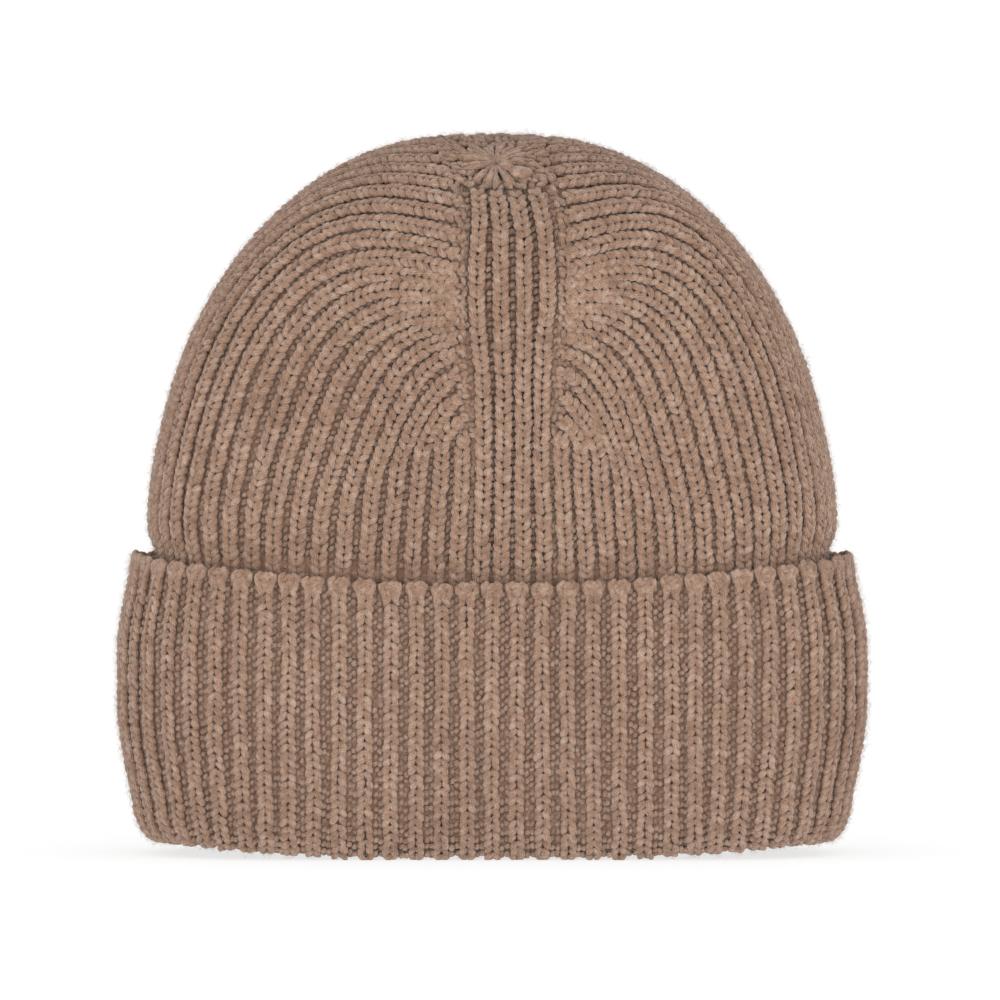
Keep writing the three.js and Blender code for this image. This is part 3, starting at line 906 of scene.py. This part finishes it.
def gather():
    """Long stitches drawn together into one point, and the fastened end of the yarn beside it."""
    drawn = Strands(10, 7)
    count = 31
    for i in range(count):
        turn = 2 * math.pi * i / count + draw.normal(0, 0.09)
        towards = np.array([math.cos(turn), math.sin(turn)])
        reach = (7.8 + 2.2 * max(0, -towards[1])) * (1 + draw.normal(0, 0.13))
        near, middle, far = 0.3 * towards, 0.62 * reach * towards, 1.25 * reach * towards
        lay(drawn, (*near, 1.9), (*middle, 0.9), 0.8, draw.normal(0, 0.25))
        lay(drawn, (*(middle * 0.8), 0.9), (*far, 1.1), 1.0, draw.normal(0, 0.4))
    drawn.piece("gathered_stitches", KNIT, "gather_knit", ["crown_gather"])
    crowded = Strands()
    for x in np.arange(-15, 15.1, 2.1):
        for down in np.arange(-10, 29, 2.0):
            place = np.array([x, down]) + draw.normal(0, 0.45, 2)
            away = np.hypot(*place)
            over_band = place[1] < -6 and abs(place[0]) < 12
            if away < 6.5 or (over_band and place[1] < -11.8):
                continue
            turn = math.atan2(place[1], place[0]) + draw.normal(0, 0.45)
            half = np.array([math.cos(turn), math.sin(turn)]) * 1.5
            deep = (2.0 if over_band or away < 8.5 else 1.2) + draw.normal(0, 0.2)
            lay(crowded, (*(place - half), deep + 0.3), (*(place + half), deep), 0.88, draw.normal(0, 0.3))
    crowded.piece("stitches_round_the_gather", KNIT, "gather_knit", ["crown_gather"])
    yarn = Strands(16, 11)
    knots = ((5.8, -6.2, -0.45, 3.5, 2.4), (2.8, -3.6, -0.9, 2.8, 1.3))
    for x, down, slope, length, width in knots:
        centre, normal = gather_spot(x, down, -0.2)
        axis = gather_spot(x + 1, down + slope, -0.2)[0] - centre
        yarn.add(centre[None], axis[None], normal[None], width, length, 1.0, bend=-0.5)
        skin.append(np.repeat(np.stack([centre, normal, axis])[None], 8, axis=0))
    yarn.piece("closing_yarn_end", CORE_YARN, "yarn", ["closing_yarn"])


# --- Loose fibres ------------------------------------------------------------------------------


def loose_fibres():
    """Fine fibres that stand off the yarn, thinly over the whole hat."""
    legs = np.concatenate(skin)
    for part in range(FIBRE_PIECES):
        chosen = legs[draw.integers(0, len(legs), FIBRES // FIBRE_PIECES)]
        count = len(chosen)
        point, outward, run = chosen[:, 0], chosen[:, 1], chosen[:, 2]
        outward = outward / np.linalg.norm(outward, axis=1, keepdims=True)
        run = run / np.linalg.norm(run, axis=1, keepdims=True)
        across = np.cross(outward, run)
        turn = draw.random((count, 1)) * 2 * math.pi
        stand = np.abs(draw.normal(0, 0.45, (count, 1)))
        axis = run * np.cos(turn) + across * np.sin(turn) + outward * stand
        half_length = draw.uniform(0.5, 1.5, count)
        lift = 0.85 + draw.random((count, 1)) * 0.35 + stand * half_length[:, None]
        ahead, aside = draw.normal(0, 1.0, (count, 1)), draw.normal(0, 0.5, (count, 1))
        centre = point + outward * lift + run * ahead + across * aside
        fibre = Strands(3, 2)
        normal = outward + draw.normal(0, 1, (count, 3))
        bend = draw.normal(0, 0.7, count)
        fibre.add(centre, axis, normal, FIBRE_RADIUS, half_length, FIBRE_RADIUS, bend)
        fibre.piece(f"loose_fibres_{part + 1}", LOOSE, "body_knit", [])


# --- The studio --------------------------------------------------------------------------------


def studio():
    bpy.ops.mesh.primitive_plane_add(size=8)
    floor = bpy.context.object
    floor.name = "studio_floor"
    n = Nodes("studio_white")
    n.shader.inputs["Base Color"].default_value = (0.26, 0.26, 0.26, 1)
    n.shader.inputs["Emission Color"].default_value = (1, 1, 1, 1)
    n.shader.inputs["Emission Strength"].default_value = 0.75
    n.shader.inputs["Roughness"].default_value = 1.0
    n.shader.inputs["Specular IOR Level"].default_value = 0.0
    floor.data.materials.append(n.material)
    world = bpy.data.worlds.new("soft_white")
    world.use_nodes = True
    world.node_tree.nodes["Background"].inputs["Color"].default_value = (1, 1, 1, 1)
    world.node_tree.nodes["Background"].inputs["Strength"].default_value = 1.03
    bpy.context.scene.world = world
    for name, place, size, power in (
        ("left_light", (-1.15, -0.95, 0.05), (0.8, 0.8), 4.3),
        ("right_light", (1.15, -0.95, 0.05), (0.8, 0.8), 3.9),
        ("low_reflector", (0.0, -0.5, 0.05), (1.2, 0.12), 2.7),
    ):
        data = bpy.data.lights.new(name, "AREA")
        data.shape = "RECTANGLE"
        data.size, data.size_y = size
        data.energy = power
        lamp = bpy.data.objects.new(name, data)
        bpy.context.scene.collection.objects.link(lamp)
        lamp.location = place
        lamp.visible_camera = False
        lamp.rotation_euler = (Vector((0, 0, 0.1)) - Vector(place)).to_track_quat("-Z", "Y").to_euler()
    bpy.context.scene.view_settings.view_transform = "Standard"


def camera():
    distance, elevation = 3.0, math.radians(1.2)
    target = Vector((0.0023, 0, 0.1035))
    data = bpy.data.cameras.new("camera")
    data.lens = 368.4
    eye = bpy.data.objects.new("camera", data)
    bpy.context.scene.collection.objects.link(eye)
    eye.location = target + Vector((0, -math.cos(elevation), math.sin(elevation))) * distance
    eye.rotation_euler = (target - eye.location).to_track_quat("-Z", "Y").to_euler()
    bpy.context.scene.camera = eye


camera()
studio()
gore_cores()
band_cores()
brim_core()
gore_stitches()
band_stitches()
cuff_stitches()
gather()
loose_fibres()
